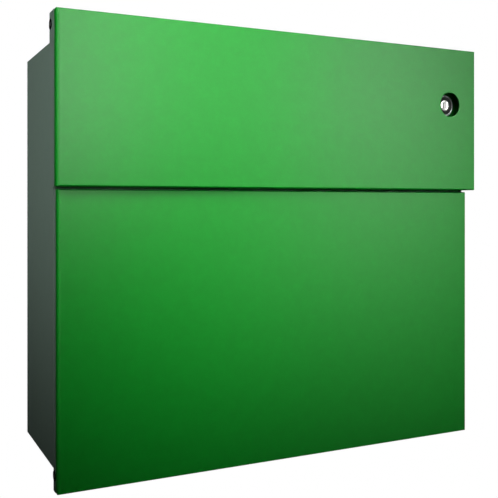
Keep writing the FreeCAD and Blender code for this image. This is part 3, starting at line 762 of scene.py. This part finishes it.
@dataclass
class SlotTrim(Assembly):
    """The black liner of the mail slot: a flat flange and a sleeve through the door."""

    wall: float = 1.2
    flange: float = 4.0
    proud: float = 1.0
    edge: float = 0.4
    corner: float = 0.3  # the slot's own corner
    corner_growth: float = 0.5  # a corner's radius grows by this share of the way outwards

    def build(self) -> None:
        """Carry the liner's section round the slot.

        The section is a closed profile of outward offset from the sleeve's inner wall and depth.
        """
        low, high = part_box("mail_slot_trim")
        axis = front_axis(low, high)
        reach = self.wall + self.flange
        half_x, half_z = (high.x - low.x) / MM / 2 - reach, (high.z - low.z) / MM / 2 - reach
        depth = (high.y - low.y) / MM
        section = rounded([(0, 0), (reach, 0), (reach, self.proud), (self.wall, self.proud),
                           (self.wall, depth), (0, depth)], self.edge, closed=True)
        rings = np.stack([axis.points(rounded_rectangle(half_x + out, half_z + out,
                                                        self.corner + self.corner_growth * out), y)
                          for out, y in section])
        surface = Surface()
        surface.skin(surface.add(rings), closed=True)
        self.place("mail_slot_liner", surface, "mail_slot_trim")


@dataclass
class Lock(Assembly):
    """The cam lock: head and threaded barrel, black ring, plug with keyway, nut and cam."""

    head_rise: float = 2.2
    barrel: float = 18.0
    ring: float = 16.0
    ring_depth: float = 1.0
    ring_rim: float = 0.5  # flat rim on both sides of the ring's dish
    ring_foot: float = 0.9  # where the rim's slope meets the dish
    ring_dish: float = 0.3
    ring_edge: float = 0.15
    plug: float = 10.0
    plug_rim: Steps = ((0.45, 0.0), (0.12, 0.12), (0.0, 0.45))  # chamfer: in from the wall, down
    clearance: float = 0.05
    edge: float = 0.5
    thread_pitch: float = 1.5
    thread_depth: float = 0.35
    thread_start: float = 1.0  # plain barrel behind the head
    thread_stop: float = 0.6  # plain barrel at the back
    back_chamfer: float = 0.4
    keyway: tuple[float, float, float] = (2.0, 7.0, 0.9)  # the last is down to the dust shutter
    keyway_corner: float = 0.35
    keyway_rim: Steps = ((0.25, 0.0), (0.08, 0.08), (0.0, 0.3))
    square: float = 6.0
    square_corner: float = 0.4
    corner_steps: tuple[int, int] = (3, 4)
    nut_flats: float = 24.0
    cam_width: float = 14.0
    cam_edge: float = 0.3
    screw: float = 4.0
    screw_pitch: float = 0.7
    screw_head: float = 7.5
    head_wall: float = 0.7  # straight wall under the screw's dome
    neck: float = 0.3  # the screw's neck is this much under its radius
    crown: float = 1.15  # the dome's ellipse turns this far, in radians
    cross_reach: float = 0.86  # share of the crown that the recess spans
    cross_blade: float = 0.4
    cross_depth: float = 1.2
    cross_taper: float = 0.75
    bore_depth: float = 6.0
    round_steps: int = 64

    def build(self) -> None:
        """Make the six pieces of the lock."""
        self.housing()
        self.black_ring()
        self.turning_plug()
        self.back_nut()
        self.tongue()
        self.tongue_screw()

    def axis(self, node: str) -> Axis:
        """The lock's own line, starting at a node's front."""
        centre = middle("lock_plug")
        return Axis(Vector((centre.x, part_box(node)[0].y, centre.z)), "y")

    def squared(self, gap: float = 0.0) -> np.ndarray:
        """Outline of the plug's square tail, grown by a gap."""
        half = self.square / 2 + gap
        return rounded_rectangle(half, half, self.square_corner, *self.corner_steps)

    def housing(self) -> None:
        """Turn the head and the barrel, with rings of thread behind the door panel.

        Behind the head the barrel's radius goes up and down in a triangle wave of one pitch.
        """
        low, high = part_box("lock_housing")
        radius, length = (high.x - low.x) / MM / 2, (high.y - low.y) / MM
        bore = self.plug / 2 + self.clearance
        ring = self.ring / 2
        front = [(bore, self.ring_depth), (ring, self.ring_depth), (ring, 0.0), (radius, 0.0),
                 (radius, self.head_rise), (self.barrel / 2, self.head_rise)]
        start = self.head_rise + self.thread_start
        depth = np.arange(start, length - self.thread_stop, self.thread_pitch / 4)
        wave = np.abs(((depth - start) / self.thread_pitch % 1) * 2 - 1)
        thread = list(zip(self.barrel / 2 - self.thread_depth * (1 - wave), depth))
        back = [(self.barrel / 2 - self.back_chamfer, length), (bore, length)]
        profile = rounded(front, self.edge) + thread + back
        surface = Surface()
        turned(surface, self.axis("lock_housing"), profile, hollow=True, steps=72)
        # The head's darker, green-tinted nickel is painted shade and a painted green reflection from inside
        # the access hole.
        self.place("lock_housing_nickel", surface, "lock_housing", NICKEL_PAINTED_SHADE)

    def black_ring(self) -> None:
        """Turn the weather ring with a shallow dish in its face."""
        inner, outer = self.plug / 2 + self.clearance, self.ring / 2
        depth, dish = self.ring_depth, self.ring_dish
        section = [(inner, 0.0), (inner + self.ring_rim, 0.0), (inner + self.ring_foot, dish),
                   (outer - self.ring_foot, dish), (outer - self.ring_rim, 0.0), (outer, 0.0),
                   (outer, depth), (inner, depth)]
        profile = rounded(section, self.ring_edge, steps=2, closed=True)
        surface = Surface()
        turned(surface, self.axis("lock_ring"), profile, hollow=True, steps=self.round_steps)
        self.place("lock_weather_ring", surface, "lock_ring")

    def turning_plug(self) -> None:
        """Make the plug: a chamfered disc with a keyway pocket and a square tail."""
        low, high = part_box("lock_plug")
        barrel_end = (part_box("lock_housing")[1].y - low.y) / MM
        length = (high.y - low.y) / MM
        axis = self.axis("lock_plug")
        radius = self.plug / 2
        width, height, pocket = self.keyway
        surface = Surface()
        rims = np.array([(radius - step, at) for step, at in self.plug_rim] + [(radius, barrel_end)])
        unit = circle(1.0, self.round_steps)
        body = surface.add(axis.points(rims[:, 0][:, None, None] * unit, rims[:, 1][:, None]))
        surface.skin(body)
        keyhole = rounded_rectangle(width / 2, height / 2, self.keyway_corner, *self.corner_steps)
        walls = np.stack([axis.points(grown(keyhole, out), at)
                          for out, at in (*self.keyway_rim, (0.0, pocket))])
        slot = surface.add(walls)
        surface.skin(slot)
        surface.cap(slot[-1])
        surface.fill(body[0], slot[0])
        ends = surface.add(np.stack([axis.points(self.squared(), at) for at in (barrel_end, length)]))
        surface.skin(ends)
        surface.fill(body[-1], ends[0])
        thread = circle(self.screw / 2, 32)
        bore = surface.add(np.stack([axis.points(thread, at) for at in (length, length - self.bore_depth)]))
        surface.skin(bore)
        surface.cap(bore[-1])
        surface.fill(ends[1], bore[0])
        self.place("lock_plug_keyed", surface, "lock_plug")

    def back_nut(self) -> None:
        """Make the thin nut that holds the lock in the door panel."""
        low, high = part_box("lock_nut")
        surface = Surface()
        hexagon_nut(surface, self.axis("lock_nut"), self.nut_flats, self.barrel, 0.0, (high.y - low.y) / MM)
        self.place("lock_back_nut", surface, "lock_nut")

    def tongue(self) -> None:
        """Stamp the cam: round at the plug, straight sides, rounded tip, square hole."""
        low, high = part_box("lock_cam")
        half = self.cam_width / 2
        drop = (middle("lock_plug").z - low.z) / MM
        turn = np.linspace(0, np.pi, 25)
        eye = half * np.stack([np.cos(turn), np.sin(turn)], axis=1)
        tip = rounded([(-half, 0.0), (-half, -drop), (half, -drop), (half, 0.0)], half / 2, 6)[1:-1]
        outline = np.concatenate([eye, np.array(tip)])
        surface = Surface()
        stamped(surface, self.axis("lock_cam"), outline, [self.squared(self.clearance)], 0.0,
                (high.y - low.y) / MM, self.cam_edge)
        self.place("lock_cam_tongue", surface, "lock_cam")

    def tongue_screw(self) -> None:
        """Make the screw that holds the cam: a domed head with a cross recess and a thread.

        The dome is part of an ellipse, from the top of the head's straight wall up to the crown.
        """
        low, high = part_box("cam_screw")
        top = (high.y - low.y) / MM
        seat = (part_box("lock_cam")[1].y - low.y) / MM
        foot = seat + self.head_wall
        axis = self.axis("cam_screw")
        radius = self.screw_head / 2
        surface = Surface()
        threaded(surface, axis, self.screw / 2, self.screw_pitch, 0.0, seat)
        angle = np.linspace(0, self.crown, 7)[1:]
        arc = np.stack([radius * np.cos(angle),
                        foot + (top - foot) * np.sin(angle) / np.sin(self.crown)], axis=1)
        body = np.concatenate([[(self.screw / 2 - self.neck, seat), (radius, seat), (radius, foot)], arc])
        dome = surface.add(axis.points(body[:, 0][:, None, None] * circle(1.0, 48), body[:, 1][:, None]))
        surface.skin(dome)
        surface.cap(dome[0])
        arm, blade = body[-1, 0] * self.cross_reach, self.cross_blade
        cross = np.array([(blade, blade), (blade, arm), (-blade, arm), (-blade, blade), (-arm, blade),
                          (-arm, -blade), (-blade, -blade), (-blade, -arm), (blade, -arm), (blade, -blade),
                          (arm, -blade), (arm, blade)])
        floor = top - self.cross_depth
        recess = surface.add(np.stack([axis.points(cross * scale, at)
                                       for scale, at in ((1.0, top), (self.cross_taper, floor))]))
        surface.skin(recess)
        surface.cap(recess[-1])
        surface.fill(dome[-1], recess[0])
        self.place("cam_screw_headed", surface, "cam_screw")


@dataclass
class Hinges(Assembly):
    """Pins, bushes and rivets of the door and flap hinges."""

    pin: float = 3.6
    pin_nose: Steps = ((0.5, 0.0), (0.12, 0.1), (0.0, 0.5))  # in from the shank, along it
    head: float = 7.2
    head_rise: float = 1.2
    head_foot: float = 0.2
    head_crown: Steps = ((0.0, 0.45), (0.25, 0.12), (0.8, 0.0))  # in from the head, back from its top
    bush_head: float = 8.0
    bush_rise: float = 0.5
    bush_edge: float = 0.22
    sleeve: float = 5.0
    collar: float = 7.2
    sheet: float = 1.2
    clearance: float = 0.05
    rivet: float = 3.2
    rivet_head: float = 6.0
    rivet_rise: float = 0.9
    rivet_foot: Steps = ((0.35, 0.0), (0.75, 0.15), (1.0, 0.6), (1.0, 1.0))  # shares of radius, rise
    rivet_dome: Steps = ((1.0, 1.0), (1.0, 0.7), (0.8, 0.25), (0.35, 0.0))

    def build(self) -> None:
        """Make both hinge lines and the bracket rivets."""
        for owner in ("door", "flap"):
            self.pins(owner + "_hinge_pins")
            self.bushes(owner + "_hinge_bushes")
        self.rivets()

    def sides(self, node: str) -> list[tuple[Axis, int]]:
        """Find the two ends of a hinge line.

        Args:
            node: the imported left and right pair.

        Returns:
            The line from the outer end of each, and its way inwards along X.
        """
        low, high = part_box(node)
        centre = (low + high) / 2
        return [(Axis(Vector((low.x, centre.y, centre.z)), "x"), 1),
                (Axis(Vector((high.x, centre.y, centre.z)), "x"), -1)]

    def length(self, node: str) -> float:
        """Read the length along X from the vertices on the left of the middle.

        Args:
            node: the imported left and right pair.

        Returns:
            The length of one of them.
        """
        left = packed_points(node)[:, 0]
        left = left[left < 0]
        return float(left.max() - left.min()) / MM

    def pins(self, node: str) -> None:
        """Turn two pins, each with a chamfered end, a straight shank and a low head.

        Args:
            node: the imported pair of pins.
        """
        length = self.length(node)
        shank, head, seat = self.pin / 2, self.head / 2, length - self.head_rise
        profile = [(shank - step, at) for step, at in self.pin_nose]
        profile += [(shank, seat), (head - self.head_foot, seat), (head, seat + self.head_foot)]
        profile += [(head - step, length - at) for step, at in self.head_crown]
        surface = Surface()
        for axis, inward in self.sides(node):
            turned(surface, axis, [(r, inward * at) for r, at in profile], steps=36)
        self.place(node + "_turned", surface, node)

    def bushes(self, node: str) -> None:
        """Turn two snap-in bushes with a lip, a neck in the sheet and a collar behind it.

        Args:
            node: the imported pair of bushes.
        """
        length = self.length(node)
        bore, behind = self.pin / 2 + self.clearance, self.bush_rise + self.sheet
        section = [(bore, 0.0), (self.bush_head / 2, 0.0), (self.bush_head / 2, self.bush_rise),
                   (self.sleeve / 2, self.bush_rise), (self.sleeve / 2, behind),
                   (self.collar / 2, behind), (self.collar / 2, length), (bore, length)]
        profile = rounded(section, self.bush_edge, closed=True)
        surface = Surface()
        for axis, inward in self.sides(node):
            turned(surface, axis, [(r, inward * at) for r, at in profile], hollow=True, steps=48)
        self.place(node + "_moulded", surface, node)

    def rivets(self) -> None:
        """Turn four rivets with a rounded head at each end."""
        low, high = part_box("bracket_rivets")
        inset = self.rivet_head / 2 * MM
        length = (high.z - low.z) / MM
        shank, head, rise = self.rivet / 2, self.rivet_head / 2, self.rivet_rise
        profile = [(head * out, rise * at) for out, at in self.rivet_foot]
        profile += [(shank, rise), (shank, length - rise)]
        profile += [(head * out, length - rise * at) for out, at in self.rivet_dome]
        surface = Surface()
        for x in (low.x + inset, high.x - inset):
            for y in (low.y + inset, high.y - inset):
                turned(surface, Axis(Vector((x, y, low.z)), "z"), profile, steps=32)
        self.place("bracket_rivets_domed", surface, "bracket_rivets")


@dataclass
class SmallHardware(Assembly):
    """Welded studs, their nuts, and the pads that door and flap close against."""

    stud: float = 3.0
    stud_pitch: float = 0.5
    nut_flats: float = 5.5
    pad_dome: float = 0.8
    dome_share: float = 0.8  # a thin pad's dome takes at most this share of it
    apart: float = 12.0  # vertices of two solids lie farther apart than this, across the front

    def build(self) -> None:
        """Make the studs, nuts and pads of the door and the flap."""
        for owner in ("door", "flap"):
            self.group(owner + "_panel_studs", owner + "_studs_threaded", self.stud_shape)
            self.group(owner + "_panel_nuts", owner + "_nuts_hexagon", self.nut_shape)
            self.group(owner + "_bumpers", owner + "_bumper_pads", self.pad_shape)

    def group(self, node: str, name: str, shape: Callable[[Surface, Vector, Vector], None]) -> None:
        """Make one shape at each separate solid of a packed group.

        Args:
            node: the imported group.
            name: the piece's name.
            shape: adds one of them to a surface, from its lowest and highest corner.
        """
        surface = Surface()
        for low, high in self.islands(node):
            shape(surface, low, high)
        self.place(name, surface, node)

    def islands(self, node: str) -> list[tuple[Vector, Vector]]:
        """Find the boxes of the separate solids in a packed group.

        Each vertex is counted to the first one that lies near it across the front, in X and Z.

        Args:
            node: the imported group.

        Returns:
            The lowest and highest corner of each solid.
        """
        places = packed_points(node)
        left = places[np.newaxis, :, [0, 2]] - places[:, np.newaxis, [0, 2]]
        first = (np.linalg.norm(left, axis=2) < self.apart * MM).argmax(axis=1)
        return [(Vector(places[first == seed].min(axis=0)), Vector(places[first == seed].max(axis=0)))
                for seed in np.unique(first)]

    def stud_shape(self, surface: Surface, low: Vector, high: Vector) -> None:
        """Add a threaded stud that fills a box."""
        threaded(surface, front_axis(low, high), self.stud / 2, self.stud_pitch, 0.0, (high.y - low.y) / MM)

    def nut_shape(self, surface: Surface, low: Vector, high: Vector) -> None:
        """Add a hexagon nut that fills a box."""
        hexagon_nut(surface, front_axis(low, high), self.nut_flats, self.stud, 0.0, (high.y - low.y) / MM)

    def pad_shape(self, surface: Surface, low: Vector, high: Vector) -> None:
        """Add a pad with a rounded rim, whose face looks forwards out of the door or the box.

        Args:
            surface: what the pad is added to.
            low: the lowest corner of its box.
            high: the highest corner.
        """
        centre = (low + high) / 2
        axis = Axis(Vector((centre.x, high.y, centre.z)), "y")
        radius, rise = (high.x - low.x) / MM / 2, (high.y - low.y) / MM
        turn = np.linspace(0, np.pi / 2, 7)
        dome = min(self.pad_dome, rise * self.dome_share)
        reach = radius - dome * (1 - np.cos(turn))
        depth = -(rise - dome) - dome * np.sin(turn)
        turned(surface, axis, [(radius, 0.0)] + list(zip(reach, depth)), steps=36)


@dataclass
class SheetParts(Assembly):
    """The grey folded sheets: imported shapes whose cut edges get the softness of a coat."""

    edge: float = 0.25
    segments: int = 2
    merge: float = 0.002  # points nearer than this are one
    flat: float = math.radians(0.5)  # faces that meet at less than this are one

    def build(self) -> None:
        """Soften every packed sheet that keeps its shape."""
        for node in ("back_panel", "roof_panel", "floor_panel", "left_side_wall", "right_side_wall",
                     "left_hinge_bracket", "right_hinge_bracket", "left_door_rail", "right_door_rail",
                     "door_bottom_rail", "door_middle_rail", "door_top_rail", "left_flap_cheek",
                     "right_flap_cheek", "flap_top_rail", "flap_bottom_rail"):
            self.soften(node)

    def soften(self, node: str) -> None:
        """Copy a packed sheet, merge its loose triangles into flats and bevel its edges.

        Args:
            node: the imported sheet.
        """
        work = bmesh.new()
        work.from_mesh(self.shop.frame["nodes"][node].data)
        bmesh.ops.remove_doubles(work, verts=work.verts, dist=self.merge * MM)
        bmesh.ops.dissolve_limit(work, angle_limit=self.flat, verts=work.verts, edges=work.edges)
        bmesh.ops.recalc_face_normals(work, faces=work.faces)
        mesh = bpy.data.meshes.new(node + "_coated")
        work.to_mesh(mesh)
        work.free()
        mesh.shade_smooth()
        mesh.set_sharp_from_angle(angle=SHARP)
        piece = self.shop.place(node + "_coated", mesh, node)
        bevel = piece.modifiers.new("coat_edge", "BEVEL")
        bevel.width = self.edge * MM
        bevel.segments = self.segments
        bevel.limit_method = "ANGLE"
        bevel.angle_limit = SHARP
        bevel.harden_normals = True


# --- Studio -------------------------------------------------------------------------------
@dataclass(frozen=True)
class Softbox:
    """A soft light: places in metres from the middle of the door's face at the frame's height."""

    name: str
    place: tuple[float, float, float]
    target: tuple[float, float, float]
    size: tuple[float, float]
    watts: float
    beam_deg: float = 180.0


# Gridded boxes light the front, so their light falls off towards the foot of the door, and two more
# the left edge and side. The last three stand behind the door's face and light the back and below.
SOFTBOXES = (
    Softbox("front_top", (-0.1, -0.7, 0.3), (-0.1, 0.0, 0.25), (0.2, 0.4), 0.25, 35.0),
    Softbox("front_high", (-0.1, -0.5, 0.5), (-0.1, 0.0, 0.1), (0.2, 0.4), 0.18, 25.0),
    Softbox("front_middle", (0.05, -0.5, 0.3), (0.05, 0.0, 0.1), (0.2, 0.4), 0.1, 25.0),
    Softbox("front_right", (0.6, -1.0, 0.3), (0.2, 0.0, 0.05), (0.2, 0.4), 0.25, 25.0),
    Softbox("left_edge", (-0.75, -0.7, 0.3), (-0.2, 0.0, 0.15), (0.1, 0.5), 0.08, 25.0),
    Softbox("left", (-0.8, -0.2, 0.6), (-0.2, 0.05, 0.25), (0.5, 0.5), 0.22, 25.0),
    Softbox("right_rear", (1.3, 0.7, 0.5), (0.1, 0.05, 0.0), (0.8, 0.8), 2.5),
    Softbox("back", (0.75, 1.6, 0.6), (0.0, 0.1, 0.0), (0.9, 0.8), 14.0),
    Softbox("under", (0.5, 0.7, -0.8), (0.0, 0.1, 0.0), (0.6, 0.6), 3.0),
)


@dataclass
class Studio:
    """Camera, lights, floor and backdrop around the hanging mailbox."""

    focal_mm: float = 57.31
    turn_deg: float = 25.95
    camera_aside: float = 0.1292  # camera to the left of the door's left edge
    camera_back: float = 0.5893  # camera in front of the door's face
    camera_up: float = 0.2168  # camera above the door's lower edge
    shift_up: float = -0.0922
    sensor_mm: float = 36.0
    sight: float = 100.0  # the camera sees this far
    floor_drop: float = 0.9
    floor_radius: float = 11.5
    dome_radius: float = 12.0
    room_light: float = 0.012

    def build(self) -> None:
        """Add the whole studio."""
        low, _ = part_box("lower_front_panel")
        self.camera(Vector((low.x - self.camera_aside, low.y - self.camera_back, low.z + self.camera_up)))
        self.lights()
        self.surroundings(low.z - self.floor_drop)
        bpy.context.scene.view_settings.view_transform = "Standard"

    def camera(self, place: Vector) -> None:
        """Add a level camera, turned towards the box.

        Args:
            place: where it stands.
        """
        data = bpy.data.cameras.new("camera")
        data.lens = self.focal_mm
        data.sensor_width = self.sensor_mm
        data.shift_y = self.shift_up
        data.clip_end = self.sight
        camera = bpy.data.objects.new("camera", data)
        camera.location = place
        camera.rotation_euler = (math.radians(90), 0.0, -math.radians(self.turn_deg))
        bpy.context.scene.collection.objects.link(camera)
        bpy.context.scene.camera = camera

    def softbox(self, box: Softbox) -> None:
        """Add one soft light that the camera doesn't see, placed and aimed from the box's front.

        Args:
            box: the light's place, aim, size and power.
        """
        low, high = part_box("lower_front_panel")
        origin = Vector(((low.x + high.x) / 2, low.y, 0.0))
        data = bpy.data.lights.new(box.name, "AREA")
        data.shape = "RECTANGLE"
        data.size, data.size_y = box.size
        data.energy = box.watts
        data.spread = math.radians(box.beam_deg)
        light = bpy.data.objects.new(box.name, data)
        light.location = origin + Vector(box.place)
        aim = Vector(box.target) - Vector(box.place)
        light.rotation_euler = aim.to_track_quat("-Z", "Y").to_euler()
        light.visible_camera = False
        bpy.context.scene.collection.objects.link(light)

    def lights(self) -> None:
        """Add the softboxes and a faint even room light."""
        for box in SOFTBOXES:
            self.softbox(box)
        world = bpy.data.worlds.new("room")
        world.use_nodes = True
        background = world.node_tree.nodes["Background"]
        background.inputs["Color"].default_value = linear("FFFFFF")
        background.inputs["Strength"].default_value = self.room_light
        bpy.context.scene.world = world

    def surroundings(self, floor_height: float) -> None:
        """Add a pale floor and a pale dome that light nothing, so that the object stays clean.

        Args:
            floor_height: the floor's height.
        """
        bpy.ops.mesh.primitive_circle_add(vertices=64, radius=self.floor_radius, fill_type="NGON",
                                          location=(0.0, 0.0, floor_height))
        floor = bpy.context.object
        floor.name = "floor"
        bpy.ops.mesh.primitive_uv_sphere_add(segments=48, ring_count=24, radius=self.dome_radius)
        dome = bpy.context.object
        dome.name = "backdrop_dome"
        for piece in (floor, dome):
            material = bpy.data.materials.new(piece.name + "_paper")
            material.use_nodes = True
            tree = material.node_tree
            tree.nodes.clear()
            paper = add_node(tree, "ShaderNodeEmission", {"Color": linear("FFFFFF"), "Strength": 1.0})
            add_node(tree, "ShaderNodeOutputMaterial", None, {"Surface": paper.outputs["Emission"]})
            piece.data.materials.append(material)
            piece.visible_diffuse = False
            piece.visible_glossy = False
            piece.visible_shadow = False


def main() -> None:
    """Build the scene in order and report each step."""
    logging.basicConfig(level=logging.INFO, format="%(message)s")
    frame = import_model()
    shop = Workshop(frame)
    for assembly in (FrontPanels, SlotTrim, Lock, Hinges, SmallHardware, SheetParts):
        LOG.info("building %s", assembly.__name__)
        assembly(shop).build()
    Studio().build()


if __name__ == "__main__":
    main()
